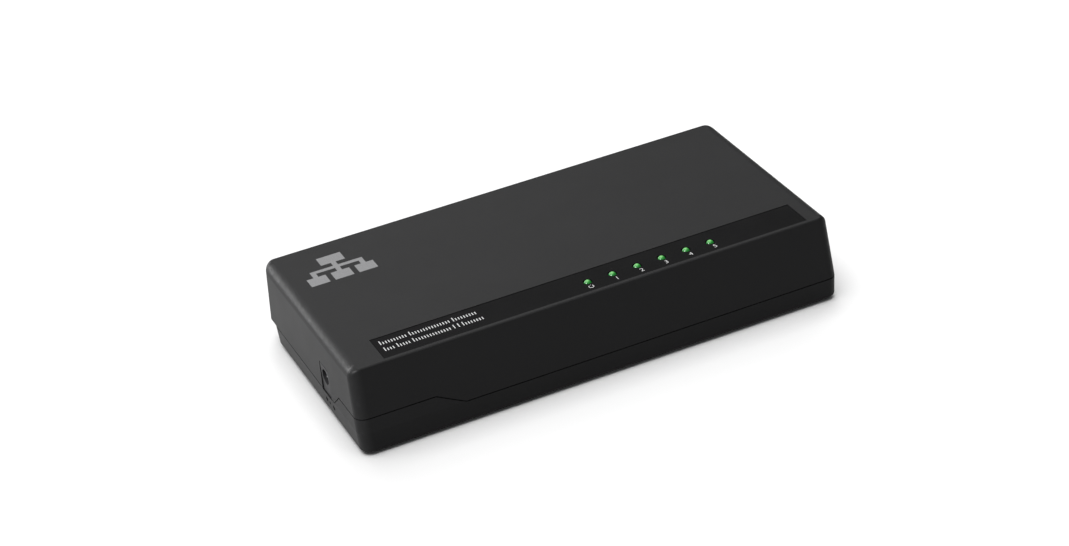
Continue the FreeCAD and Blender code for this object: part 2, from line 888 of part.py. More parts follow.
def make_legend_strip():
    """The dark film in the recess, with a hole for each indicator."""
    body = new_body("StripBody")
    outline = new_sketch(body, "StripOutline", "XY_Plane", "case_height - strip_recess")
    add_rectangle(
        outline,
        ("strip_left_x + strip_play", "strip_right_x - strip_play"),
        ("strip_front_y + strip_play", "strip_back_y - strip_play"),
    )
    pad(body, outline, "strip_thick")
    hole = new_sketch(body, "StripHole", "XY_Plane", "case_height")
    add_circle(hole, "led_first_x", "led_y", "led_hole_radius")
    first = pocket(body, hole, "2 * strip_recess")
    repeat(body, first, hole, "(led_count - 1) * led_pitch", "led_count")
    finished(body, "legend_strip")


def make_light_pipe():
    """Six clear fingers on one bar, each with a domed tip above the strip."""
    bar = box(
        "PipeBar",
        ("led_first_x - pipe_bar_margin", "led_first_x + (led_count - 1) * led_pitch + pipe_bar_margin"),
        around("led_y", "pipe_bar_width"),
        ("pipe_bar_z", "pipe_bar_z + pipe_bar_thick"),
    )
    pieces = [bar]
    for number, x in enumerate(LED_PLACES, start=1):
        span = ("pipe_foot_z", "case_height + pipe_tip_proud - pipe_radius")
        pieces.append(cylinder(f"PipeFinger{number}", x, "led_y", span, "pipe_radius"))
        tip = doc.addObject("Part::Sphere", f"PipeTip{number}")
        bind(tip, Radius="pipe_radius")
        place(tip, x, "led_y", span[1])
        pieces.append(tip)
    holes = [
        cylinder(f"PipePegHole{number}", x, "led_y", ("0", "case_height"), "peg_radius + peg_play")
        for number, x in enumerate(PEG_PLACES, start=1)
    ]
    finished(cut("LightPipe", joined("PipeWhole", pieces), holes), "light_pipe")


def make_indicator_leds():
    lamps = [
        box(
            f"Led{number}",
            around(x, "lamp_length"),
            around("led_y", "lamp_width"),
            (BOARD_TOP, f"{BOARD_TOP} + lamp_height"),
        )
        for number, x in enumerate(LED_PLACES, start=1)
    ]
    finished(joined("IndicatorLeds", lamps), "indicator_leds")


# Circuit board and its small components


def make_circuit_board():
    """The board, with holes for bosses, screws, socket locators and all tails."""
    body = new_body("BoardBody")
    outline = new_sketch(body, "BoardOutline", "XY_Plane", "board_bottom_z")
    add_rectangle(outline, ("-board_half_width", "board_half_width"), ("board_front_y", "board_back_y"))
    pad(body, outline, "board_thick")
    through = ("board_bottom_z - past", f"{BOARD_TOP} + past")
    drills = []

    def drill(name, x, y, radius):
        drills.append(cylinder(f"Drill_{name}", x, y, through, radius))

    for number, (x, y) in enumerate(SCREW_PLACES, start=1):
        drill(f"boss{number}", x, y, "boss_radius + board_boss_play")
    for number, (x, y) in enumerate(BOARD_SCREW_PLACES, start=1):
        drill(f"screw{number}", x, y, "board_screw_hole_radius")
    for port, x in enumerate(PORT_PLACES, start=1):
        for side in (-1, 1):
            drill(
                f"locator{port}_{side + 1}", f"{x} + {side} * locator_x",
                "port_face_y + locator_y", "locator_radius + locator_play",
            )
        for wire, (wire_x, tail_y) in enumerate(zip(WIRE_PLACES, TAIL_ROWS), start=1):
            drill(f"tail{port}_{wire}", f"{x} + {wire_x}", f"port_face_y + {tail_y}", "tail_hole_radius")
    for number, (tail_x, tail_y) in enumerate(INLET_TAILS, start=1):
        drill(f"inlet{number}", tail_x, tail_y, "inlet_tail_width / 2 + board_tail_play")
    finished(cut("CircuitBoard", body, drills), "circuit_board")


def make_switch_chip():
    """A flat square package with a row of leads along each side."""
    pieces = [box(
        "ChipBlock",
        around(0, "chip_side"),
        around("chip_middle_y", "chip_side"),
        (f"{BOARD_TOP} + chip_lift", f"{BOARD_TOP} + chip_height"),
    )]
    lead_z = (BOARD_TOP, f"{BOARD_TOP} + chip_lead_thick")
    for number in range(int(sheet.chip_lead_count)):
        along = f"({number} - (chip_lead_count - 1) / 2) * chip_lead_pitch"
        reach = "chip_side + 2 * chip_lead_reach"
        pieces.append(box(
            f"LeadsAcross{number}",
            around(0, reach), around(f"chip_middle_y + {along}", "chip_lead_width"), lead_z,
        ))
        pieces.append(box(
            f"LeadsAlong{number}",
            around(along, "chip_lead_width"), around("chip_middle_y", reach), lead_z,
        ))
    finished(joined("SwitchChip", pieces), "switch_chip")


def make_heat_sink():
    """A thermal pad on the chip, and a finned block on the pad."""
    pad_z = (f"{BOARD_TOP} + chip_height", f"{BOARD_TOP} + chip_height + pad_thick")
    thermal_pad = box("PadBlock", around(0, "pad_side"), around("chip_middle_y", "pad_side"), pad_z)
    finished(copied(thermal_pad, "ThermalPad"), "thermal_pad")
    body = new_body("SinkBody")
    base = new_sketch(body, "SinkBase", "XY_Plane")
    add_rectangle(base, around("0", "sink_side"), around("0", "sink_side"))
    pad(body, base, "sink_base")
    fin = new_sketch(body, "SinkFin", "XY_Plane", "sink_base")
    add_rectangle(fin, ("-sink_side / 2", "-sink_side / 2 + sink_fin_thick"), around("0", "sink_side"))
    first = pad(body, fin, "sink_height - sink_base")
    repeat(body, first, fin, "sink_side - sink_fin_thick", "sink_fin_count")
    finished(body, "heat_sink", 0, "chip_middle_y", pad_z[1])


def make_magnetics():
    """One transformer block behind each socket."""
    body = new_body("MagneticsModel")
    outline = new_sketch(body, "MagneticsOutline", "XY_Plane")
    add_rectangle(outline, around("0", "magnetics_length"), around("0", "magnetics_width"))
    pad(body, outline, "magnetics_height")
    soften(body, "magnetics_chamfer", lies_at(sheet.magnetics_height))
    for number, x in enumerate(PORT_PLACES, start=1):
        block = copied(body, f"Magnetics{number}")
        finished(block, f"magnetics_{number}", x, "magnetics_y", BOARD_TOP)


def make_small_components():
    for name, (x, y, length, width, height) in CHIPS.items():
        block = box(f"Block_{name}", around(0, length), around(0, width), (0, height))
        finished(copied(block, f"Placed_{name}"), name, x, y, BOARD_TOP)

    cans = []
    for number, (x, y) in enumerate(CAPACITORS, start=1):
        cans.append(box(
            f"CanBase{number}",
            around(x, CAPACITOR_BASE),
            around(y, CAPACITOR_BASE),
            (BOARD_TOP, f"{BOARD_TOP} + {CAPACITOR_BASE_HEIGHT}"),
        ))
        span = (BOARD_TOP, f"{BOARD_TOP} + {CAPACITOR_HEIGHT}")
        cans.append(cylinder(f"Can{number}", x, y, span, CAPACITOR_RADIUS))
    finished(joined("BulkCapacitors", cans), "bulk_capacitors")

    small_z = (BOARD_TOP, f"{BOARD_TOP} + {SMALL_HEIGHT}")
    resistors = [
        box(f"Resistor{number}", around(x, SMALL_WIDTH), around(RESISTOR_Y, SMALL_LENGTH), small_z)
        for number, x in enumerate(LED_PLACES, start=1)
    ]
    finished(joined("ChipResistors", resistors), "chip_resistors")

    bypass = []
    for side in (-1, 1):
        for step in (-1, 0, 1):
            bypass.append(box(
                f"Bypass{side + 1}_{step + 1}",
                around(side * BYPASS_REACH, SMALL_WIDTH),
                around(f"chip_middle_y + {step * BYPASS_STEP}", SMALL_LENGTH),
                small_z,
            ))
    finished(joined("ChipCapacitors", bypass), "chip_capacitors")


# Sockets, drawn about the middle of the mouth's lower edge, with the mouth at y = 0

WIRE_PLACES = [
    f"({number} - (wire_count - 1) / 2) * wire_pitch" for number in range(int(sheet.wire_count))
]
TAIL_ROWS = [
    f"tail_row_y - {number % 2} * tail_row_step" for number in range(int(sheet.wire_count))
]
MOUTH_STEPS = (
    ("mouth_half", "mouth_low", "mouth_high"),
    ("latch_half", "latch_low", "mouth_low"),
    ("key_half", "key_low", "latch_low"),
)


def make_port_housing():
    """The moulded block: plug mouth with its latch way, contact comb and tail room."""
    body = new_body("HousingModel")
    outline = new_sketch(body, "HousingOutline", "XZ_Plane", "shield_thick")
    add_rectangle(
        outline,
        around("0", "2 * (port_half_width - shield_thick)"),
        ("0", "port_height - shield_thick"),
    )
    pad(body, outline, "port_depth - 2 * shield_thick")

    mouth = new_sketch(body, "Mouth", "XZ_Plane")
    add_outline(mouth, (
        ("-mouth_half", "mouth_high"), ("-mouth_half", "mouth_low"),
        ("-latch_half", "mouth_low"), ("-latch_half", "latch_low"),
        ("-key_half", "latch_low"), ("-key_half", "key_low"),
        ("key_half", "key_low"), ("key_half", "latch_low"),
        ("latch_half", "latch_low"), ("latch_half", "mouth_low"),
        ("mouth_half", "mouth_low"), ("mouth_half", "mouth_high"),
    ))
    pocket(body, mouth, "mouth_depth", reverse=True)

    comb = new_sketch(body, "Comb", "XZ_Plane", "-comb_front_y")
    add_rectangle(comb, around("0", "2 * comb_half"), ("mouth_high - comb_overlap", "comb_top"))
    pocket(body, comb, "comb_front_y - tail_room_front_y + comb_reach", reverse=True)

    tail_room = new_sketch(body, "TailRoom", "XZ_Plane", "-tail_room_front_y")
    add_rectangle(tail_room, around("0", "2 * comb_half"), ("-past", "comb_top"))
    pocket(body, tail_room, "tail_room_front_y - tail_room_back_y", reverse=True)

    locators = [
        cylinder(
            f"Locator{side + 1}", f"{side} * locator_x", "locator_y",
            ("-locator_length", "past"), "locator_radius",
        )
        for side in (-1, 1)
    ]
    return joined("Housing", [body] + locators)


def make_port_shield():
    """The folded steel can round the housing, open below and at the mouth."""
    outer = box(
        "ShieldOuter",
        ("-port_half_width", "port_half_width"), ("-port_depth", "0"), ("0", "port_height"),
    )
    tools = [box(
        "ShieldInner",
        around("0", "2 * (port_half_width - shield_thick)"),
        ("shield_thick - port_depth", "-shield_thick"),
        ("-past", "port_height - shield_thick"),
    )]
    for number, (half, low, high) in enumerate(MOUTH_STEPS, start=1):
        tools.append(box(
            f"ShieldMouth{number}",
            around("0", f"2 * ({half} + shield_edge)"),
            ("-past", "past"),
            (f"{low} - shield_edge", f"{high} + shield_edge"),
        ))
    return cut("Shield", outer, tools)


def make_port_terminals():
    """The fixed ends of the wires: a hook, a run under the roof and a tail to the board."""
    pieces = []
    for number, (x, tail_y) in enumerate(zip(WIRE_PLACES, TAIL_ROWS), start=1):
        across = around(x, "wire_width")
        back = f"{tail_y} - wire_thick / 2"
        run = ("tail_run_z", "tail_run_z + wire_thick")
        pieces.append(box(f"Run{number}", across, (back, "tail_front_y"), run))
        pieces.append(box(
            f"Hook{number}", across, ("tail_front_y - wire_thick", "tail_front_y"),
            ("tail_hook_low", run[1]),
        ))
        pieces.append(box(
            f"Tail{number}", across, (back, f"{tail_y} + wire_thick / 2"), ("-tail_below", run[1]),
        ))
    return joined("Terminals", pieces)


def make_ports():
    templates = {
        "housing": make_port_housing(),
        "shield": make_port_shield(),
        "contacts": make_hanging_wires(),
        "terminals": make_port_terminals(),
    }
    for number, x in enumerate(PORT_PLACES, start=1):
        for kind, template in templates.items():
            occurrence = copied(template, f"Port{number}_{kind}")
            finished(occurrence, f"port_{number}_{kind}", x, "port_face_y", BOARD_TOP)


def make_hanging_wires():
    """The sprung wires together, each turned down from its bend."""
    wires = []
    for number, x in enumerate(WIRE_PLACES, start=1):
        wire = doc.addObject("Part::Box", f"HangingWire{number}")
        wire.Placement = Placement(Vector(), Rotation(Vector(1, 0, 0), 180 + sheet.wire_slope))
        bind(wire, Length="wire_width", Width="wire_length", Height="wire_thick")
        place(wire, f"{x} - wire_width / 2", "wire_bend_y", "wire_bend_z + wire_thick / 2")
        wires.append(wire)
    return joined("HangingWires", wires)


# Power inlet at the left, its bore along X

INLET_BACK = "inlet_face_x + inlet_length"
INLET_TAILS = (
    (f"{INLET_BACK} - inlet_tail_back", "inlet_y"),
    (f"{INLET_BACK} - inlet_tail_middle", "inlet_y"),
    (f"{INLET_BACK} - inlet_tail_side", "inlet_y + inlet_half_width - inlet_tail_edge"),
)


def make_inlet_housing():
    block = box(
        "InletBlock",
        ("inlet_face_x", INLET_BACK),
        around("inlet_y", "2 * inlet_half_width"),
        (BOARD_TOP, "inlet_top_z"),
    )
    bore = lying_cylinder(
        "InletBore", ("inlet_face_x - past", "inlet_face_x + inlet_bore_depth"),
        "inlet_y", "inlet_z", "inlet_bore_radius",
    )
    slot = box(
        "InletSlot",
        ("inlet_face_x + inlet_slot_front", "inlet_face_x + inlet_bore_depth"),
        around("inlet_y", "2 * inlet_slot_half"),
        ("inlet_slot_low_z", "inlet_z"),
    )
    seat = lying_cylinder(
        "InletPinSeat", ("inlet_face_x", "inlet_face_x + 2 * inlet_length"),
        "inlet_y", "inlet_z", "inlet_pin_radius",
    )
    finished(cut("InletHousing", block, [bore, slot, seat]), "dc_jack_housing")


def make_inlet_pin():
    shank = lying_cylinder(
        "InletPinShank", ("inlet_face_x + inlet_pin_back + inlet_pin_radius", INLET_BACK),
        "inlet_y", "inlet_z", "inlet_pin_radius",
    )
    tip = doc.addObject("Part::Sphere", "InletPinTip")
    bind(tip, Radius="inlet_pin_radius")
    place(tip, "inlet_face_x + inlet_pin_back + inlet_pin_radius", "inlet_y", "inlet_z")
    finished(joined("InletPin", [shank, tip]), "dc_jack_pin")


def make_inlet_spring():
    """The leaf that presses on the plug's sleeve, drawn from its root."""
    leaf = box(
        "InletLeaf",
        ("-leaf_length", "0"), around("0", "2 * leaf_half_width"), around("0", "leaf_thick"),
    )
    turned = copied(leaf, "InletLeafTurned")
    turned.Placement = Placement(Vector(), Rotation(Vector(0, 1, 0), sheet.leaf_slope))
    finished(turned, "dc_jack_spring", "inlet_face_x + leaf_root", "inlet_y", "leaf_root_z")


def make_inlet_terminals():
    tails = [
        box(
            f"InletTail{number}",
            around(x, "inlet_tail_thick"),
            around(y, "inlet_tail_width"),
            (f"{BOARD_TOP} - inlet_tail_below", BOARD_TOP),
        )
        for number, (x, y) in enumerate(INLET_TAILS, start=1)
    ]
    finished(joined("InletTerminals", tails), "dc_jack_terminals")


# Write every sub-part, once all of them are sound


def check_document():
    for item in doc.Objects:
        if "Invalid" in item.State or "Error" in item.State:
            raise ValueError(f"{item.Name} failed: {item.State}")
    for item in sub_parts:
        if item.Shape.isNull() or not item.Shape.isValid() or item.Shape.Volume <= 0:
            raise ValueError(f"{item.Label} has no sound shape")
    labels = [item.Label for item in sub_parts]
    if len(set(labels)) != len(labels):
        raise ValueError("two sub-parts share a label")


make_upper_shell()
make_lower_shell()
make_feet()
make_label()
make_case_screws()
make_board_screws()
make_legend_strip()
make_light_pipe()
make_indicator_leds()
make_circuit_board()
make_switch_chip()
make_heat_sink()
make_magnetics()
make_small_components()
make_ports()
make_inlet_housing()
make_inlet_pin()
make_inlet_spring()
make_inlet_terminals()
doc.recompute()
check_document()

os.makedirs("parts", exist_ok=True)
for item in sub_parts:
    item.Shape.exportStep(f"parts/{item.Label}.step")
    print(f"{item.Label}: {len(item.Shape.Solids)} solids, {item.Shape.Volume:.2f} mm3")
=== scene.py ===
import json
import math

import bmesh
import bpy
from mathutils import Matrix, Vector


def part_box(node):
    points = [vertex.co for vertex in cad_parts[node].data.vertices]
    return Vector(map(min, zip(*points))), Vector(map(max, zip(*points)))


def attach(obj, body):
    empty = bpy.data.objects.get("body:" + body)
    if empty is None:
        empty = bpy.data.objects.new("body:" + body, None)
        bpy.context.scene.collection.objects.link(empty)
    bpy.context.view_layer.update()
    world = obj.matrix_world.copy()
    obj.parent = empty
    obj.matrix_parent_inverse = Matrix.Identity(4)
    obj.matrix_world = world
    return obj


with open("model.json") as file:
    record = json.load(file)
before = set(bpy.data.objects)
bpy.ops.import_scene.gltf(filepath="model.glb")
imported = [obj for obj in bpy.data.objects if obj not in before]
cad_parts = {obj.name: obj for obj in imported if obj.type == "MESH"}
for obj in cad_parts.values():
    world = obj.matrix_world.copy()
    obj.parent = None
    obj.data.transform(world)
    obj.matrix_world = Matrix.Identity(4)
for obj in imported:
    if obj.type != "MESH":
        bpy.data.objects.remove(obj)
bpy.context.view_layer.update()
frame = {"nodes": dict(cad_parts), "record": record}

# The looks of a desktop network switch: a finely textured charcoal case with a
# satin indicator strip, six lit indicators, printed marks, and the sockets and
# board inside. The CAD nodes keep their shapes; this script gives them their
# finishes, adds what is printed on them, and sets up the studio.
# Sizes are in metres unless a name ends in _mm.

MM = 0.001

# How squarely a face looks along its nearest axis, where it counts as flat and as turned.
FACING_FLAT = 0.975
FACING_TURNED = 0.86


# Finishes. Each is a Principled shader whose texture comes from noise in the
# frame's own coordinates, so that a pattern keeps its real size.


class Finish:
    def __init__(self, name, roughness, **settings):
        self.material = bpy.data.materials.new(name)
        self.material.use_nodes = True
        self.tree = self.material.node_tree
        self.shader = self.tree.nodes["Principled BSDF"]
        self.shader.inputs["Roughness"].default_value = roughness
        for socket, value in settings.items():
            self.shader.inputs[socket.replace("_", " ")].default_value = value
        self.coordinates = self.tree.nodes.new("ShaderNodeTexCoord")
        self.place = self.coordinates.outputs["Object"]

    def add(self, kind, properties=None, **inputs):
        """A node with its properties set, and its inputs set or linked.

        An input is given by its name, or by its number after an underscore.
        """
        node = self.tree.nodes.new(kind)
        for name, value in (properties or {}).items():
            setattr(node, name, value)
        for name, value in inputs.items():
            key = int(name[1:]) if name[1:].isdigit() else name.replace("_", " ")
            if isinstance(value, bpy.types.NodeSocket):
                self.tree.links.new(value, node.inputs[key])
            else:
                node.inputs[key].default_value = value
        return node

    def stretched(self, along):
        """The frame's coordinates, squeezed on each axis by a factor."""
        node = self.add("ShaderNodeMapping", Vector=self.place, Scale=along)
        return node.outputs["Vector"]

    def noise(self, size_mm, detail, place=None):
        """Noise from 0 to 1 with features about size_mm across."""
        node = self.add(
            "ShaderNodeTexNoise",
            Vector=place or self.place,
            Scale=1 / (size_mm * MM),
            Detail=detail,
        )
        return node.outputs["Fac"]

    def pits(self, size_mm):
        """Rounded pits about size_mm apart: 0 at a pit's middle."""
        node = self.add("ShaderNodeTexVoronoi", Vector=self.place, Scale=1 / (size_mm * MM))
        return node.outputs["Distance"]

    def math(self, operation, first, second):
        node = self.add("ShaderNodeMath", {"operation": operation}, _0=first, _1=second)
        return node.outputs["Value"]

    def span(self, value, low, high, to_low=0.0, to_high=1.0):
        """The value, with low to high mapped to to_low to to_high and held at its ends."""
        node = self.add(
            "ShaderNodeMapRange", Value=value,
            From_Min=low, From_Max=high, To_Min=to_low, To_Max=to_high,
        )
        return node.outputs["Result"]

    def ramp(self, value, stops):
        """A colour for the value, blended between (place, colour) stops."""
        node = self.add("ShaderNodeValToRGB", Fac=value)
        while len(node.color_ramp.elements) < len(stops):
            node.color_ramp.elements.new(1.0)
        for element, (position, colour) in zip(node.color_ramp.elements, stops):
            element.position = position
            element.color = (*colour, 1.0)
        return node.outputs["Color"]

    def mix(self, factor, first, second):
        node = self.add("ShaderNodeMix", {"data_type": "RGBA"}, Factor=factor, _6=first, _7=second)
        return node.outputs[2]

    def bump(self, height, depth_mm, under=None):
        """A bump of depth_mm for a height from 0 to 1, over the one under it."""
        inputs = {"Height": height, "Distance": depth_mm * MM}
        if under is not None:
            inputs["Normal"] = under
        return self.add("ShaderNodeBump", **inputs).outputs["Normal"]

    def round_edges(self):
        """1 where the surface turns between the frame's axes, as on a rounded edge."""
        facing = self.add(
            "ShaderNodeVectorMath", {"operation": "ABSOLUTE"}, _0=self.coordinates.outputs["Normal"],
        )
        parts = self.add("ShaderNodeSeparateXYZ", Vector=facing.outputs["Vector"])
        largest = self.math("MAXIMUM", parts.outputs["X"], parts.outputs["Y"])
        largest = self.math("MAXIMUM", largest, parts.outputs["Z"])
        return self.span(largest, FACING_FLAT, FACING_TURNED)

    def finish(self, colour=None, roughness=None, normal=None, **others):
        """The material, with its varying inputs linked to the shader."""
        sockets = {"Base Color": colour, "Roughness": roughness, "Normal": normal}
        sockets.update({name.replace("_", " "): value for name, value in others.items()})
        for name, value in sockets.items():
            if value is not None:
                self.tree.links.new(value, self.shader.inputs[name])
        return self.material


def shades(colour, *factors):
    """The colour times each factor."""
    return [tuple(channel * factor for channel in colour) for factor in factors]


def moulded(name, colour, roughness, grain_mm, grain_depth_mm, specular):
    """Spark-textured moulded plastic: fine pits, faint flow marks, polished edges."""
    skin = Finish(name, roughness, Specular_IOR_Level=specular)
    grain = skin.pits(grain_mm)
    flow = skin.noise(26.0, 4.0)
    smudge = skin.noise(9.0, 5.0)
    dark, plain, light, rubbed = shades(colour, 0.96, 1.0, 1.04, 1.3)
    tone = skin.ramp(flow, [(0.3, dark), (0.5, plain), (0.7, light)])
    chips = skin.span(skin.noise(1.4, 4.0), 0.5, 0.72)
    wear = skin.math("MULTIPLY", skin.round_edges(), chips)
    worn = skin.mix(wear, tone, (*rubbed, 1.0))
    gloss = skin.span(smudge, 0.35, 0.7, roughness + 0.014, roughness - 0.012)
    gloss = skin.math("SUBTRACT", gloss, skin.math("MULTIPLY", wear, 0.12))
    relief = skin.bump(grain, grain_depth_mm)
    relief = skin.bump(flow, 0.008, relief)
    return skin.finish(worn, gloss, relief)


def case_plastic():
    return moulded("case_plastic", (0.0060, 0.0060, 0.0062), 0.43, 0.32, 0.010, 0.070)


def inlet_plastic():
    return moulded("inlet_plastic", (0.0090, 0.0090, 0.0095), 0.46, 0.22, 0.006, 0.10)


def socket_plastic():
    return moulded("socket_plastic", (0.0160, 0.0160, 0.0165), 0.36, 0.45, 0.005, 0.45)


def legend_film():
    """Satin film with a slight ripple, fine speckle and a few dust specks."""
    skin = Finish("legend_film", 0.30, Specular_IOR_Level=0.012)
    ripple = skin.noise(3.2, 2.0)
    speckle = skin.noise(0.12, 1.0)
    dust = skin.span(skin.pits(2.6), 0.045, 0.03)
    tone = skin.ramp(speckle, [(0.3, (0.0024, 0.0024, 0.0025)), (0.7, (0.0036, 0.0036, 0.0037))])
    tone = skin.mix(dust, tone, (0.020, 0.020, 0.019, 1.0))
    gloss = skin.span(skin.noise(7.0, 4.0), 0.3, 0.7, 0.28, 0.42)
    return skin.finish(tone, gloss, skin.bump(ripple, 0.006, skin.bump(speckle, 0.001)))


def label_film():
    """Blank satin paper label with a faint fibre and a few scuffs."""
    skin = Finish("label_film", 0.55, Specular_IOR_Level=0.4)
    fibre = skin.noise(0.35, 4.0, skin.stretched((1.0, 3.0, 1.0)))
    scuff = skin.span(skin.noise(5.0, 6.0), 0.6, 0.75)
    tone = skin.ramp(fibre, [(0.3, (0.50, 0.51, 0.52)), (0.7, (0.64, 0.65, 0.66))])
    tone = skin.mix(skin.math("MULTIPLY", scuff, 0.4), tone, (0.38, 0.38, 0.37, 1.0))
    return skin.finish(tone, skin.span(scuff, 0.0, 1.0, 0.5, 0.7), skin.bump(fibre, 0.004))


def print_ink(name, colour, specular=0.1):
    """Screen-printed ink: slightly uneven cover and a dry surface."""
    skin = Finish(name, 0.6, Specular_IOR_Level=specular)
    cover = skin.noise(0.25, 3.0)
    thin, full = shades(colour, 0.82, 1.0)
    tone = skin.ramp(cover, [(0.32, thin), (0.6, full)])
    return skin.finish(tone, skin.span(cover, 0.3, 0.7, 0.66, 0.5), skin.bump(cover, 0.003))


def foot_rubber():
    """Dull rubber with fine grit and a dusty bloom."""
    skin = Finish("foot_rubber", 0.85, Specular_IOR_Level=0.25)
    grit = skin.noise(0.25, 4.0)
    bloom = skin.span(skin.noise(2.5, 5.0), 0.45, 0.75)
    tone = skin.ramp(grit, [(0.3, (0.010, 0.010, 0.010)), (0.7, (0.020, 0.020, 0.019))])
    tone = skin.mix(skin.math("MULTIPLY", bloom, 0.5), tone, (0.060, 0.058, 0.055, 1.0))
    return skin.finish(tone, skin.span(bloom, 0.0, 1.0, 0.8, 0.95), skin.bump(grit, 0.03))


def metal(name, colour, roughness, stain, grain, depth_mm):
    """Bare or plated metal: drawn grain, cloudy finish and dull stains."""
    skin = Finish(name, roughness, Metallic=1.0)
    lines = skin.noise(1.6, 5.0, skin.stretched(grain))
    cloud = skin.noise(3.5, 4.0)
    marks = skin.span(skin.noise(1.3, 6.0), 0.58, 0.74)
    dull, bright = shades(colour, 0.92, 1.04)
    tone = skin.ramp(lines, [(0.3, dull), (0.65, bright)])
    tone = skin.mix(skin.math("MULTIPLY", marks, 0.25), tone, (*stain, 1.0))
    gloss = skin.span(cloud, 0.3, 0.72, roughness - 0.04, roughness + 0.06)
    gloss = skin.math("ADD", gloss, skin.math("MULTIPLY", marks, 0.06))
    return skin.finish(tone, gloss, skin.bump(lines, depth_mm))


def shield_steel():
    return metal("shield_steel", (0.50, 0.48, 0.45), 0.25, (0.30, 0.27, 0.22), (1.0, 1.0, 10.0), 0.0012)


def screw_steel():
    return metal("screw_steel", (0.48, 0.48, 0.49), 0.33, (0.20, 0.19, 0.17), (9.0, 1.0, 1.0), 0.006)


def sink_aluminium():
    return metal("sink_aluminium", (0.62, 0.62, 0.64), 0.42, (0.36, 0.36, 0.37), (1.0, 12.0, 1.0), 0.006)


def crystal_can():
    return metal("crystal_can", (0.66, 0.66, 0.67), 0.24, (0.38, 0.37, 0.35), (10.0, 1.0, 1.0), 0.003)


def capacitor_can():
    return metal("capacitor_can", (0.68, 0.68, 0.70), 0.30, (0.40, 0.40, 0.40), (1.0, 1.0, 10.0), 0.004)


def contact_gold():
    return metal("contact_gold", (0.80, 0.56, 0.20), 0.24, (0.36, 0.22, 0.08), (1.0, 9.0, 1.0), 0.003)


def tail_tin():
    return metal("tail_tin", (0.60, 0.60, 0.61), 0.36, (0.32, 0.31, 0.29), (1.0, 1.0, 8.0), 0.006)


def board_laminate():
    """Solder mask over copper tracks, with the weave faintly showing."""
    skin = Finish("board_laminate", 0.30, Coat_Weight=0.3)
    tracks = skin.add(
        "ShaderNodeTexBrick", {"offset": 0.35, "squash": 1.0},
        Vector=skin.place, Scale=90.0, Mortar_Size=0.012, Mortar_Smooth=0.2,
    ).outputs["Fac"]
    weave = skin.add(
        "ShaderNodeTexWave", {"wave_type": "BANDS"}, Vector=skin.place, Scale=900.0, Distortion=0.6,
    ).outputs["Fac"]
    pour = skin.span(skin.noise(12.0, 1.0), 0.49, 0.51)
    tone = skin.mix(pour, (0.010, 0.070, 0.026, 1.0), (0.016, 0.105, 0.040, 1.0))
    tone = skin.mix(tracks, tone, (0.030, 0.160, 0.070, 1.0))
    relief = skin.bump(tracks, 0.03, skin.bump(weave, 0.003))
    return skin.finish(tone, skin.span(weave, 0.0, 1.0, 0.26, 0.36), relief)


def matt_block(name, colour, roughness, grain_mm, depth_mm, fleck):
    """A pressed or fired block: gritty surface with paler flecks."""
    skin = Finish(name, roughness, Specular_IOR_Level=0.35)
    grit = skin.noise(grain_mm, 4.0)
    flecks = skin.span(skin.pits(grain_mm * 2.5), 0.16, 0.08)
    dark, light = shades(colour, 0.82, 1.15)
    tone = skin.ramp(grit, [(0.3, dark), (0.7, light)])
    tone = skin.mix(skin.math("MULTIPLY", flecks, 0.5), tone, (*fleck, 1.0))
    gloss = skin.span(grit, 0.3, 0.7, roughness + 0.08, roughness - 0.08)
    return skin.finish(tone, gloss, skin.bump(grit, depth_mm))


def chip_epoxy():
    return matt_block("chip_epoxy", (0.018, 0.018, 0.020), 0.55, 0.18, 0.010, (0.05, 0.05, 0.05))


def thermal_pad():
    return matt_block("thermal_pad", (0.42, 0.44, 0.50), 0.75, 0.30, 0.020, (0.60, 0.62, 0.66))


def ferrite():
    return matt_block("ferrite", (0.050, 0.050, 0.054), 0.70, 0.22, 0.030, (0.12, 0.12, 0.12))


def chip_ceramic():
    return matt_block("chip_ceramic", (0.33, 0.24, 0.15), 0.50, 0.15, 0.006, (0.55, 0.48, 0.38))


def led_body():
    return matt_block("led_body", (0.70, 0.74, 0.60), 0.45, 0.20, 0.005, (0.85, 0.88, 0.70))


# Where the indicators are, from the lamps under them.

ports = sorted(name for name in frame["nodes"] if name.endswith("_shield"))
case_low, case_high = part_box("upper_shell")
strip_low, strip_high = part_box("legend_strip")
lamp_low, lamp_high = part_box("indicator_leds")
LAMP_LENGTH = 2.0 * MM
LAMPS = len(ports) + 1
lamp_first_x = lamp_low.x + LAMP_LENGTH / 2
lamp_pitch = (lamp_high.x - lamp_low.x - LAMP_LENGTH) / (LAMPS - 1)
lamp_y = (lamp_low.y + lamp_high.y) / 2


# The glow of a lens: how far its bright spot is off the middle, as a painted highlight, and where it
# ends.
PAINTED_HIGHLIGHT_SHIFT = 0.12 * MM
GLOW_RADIUS = 1.0 * MM


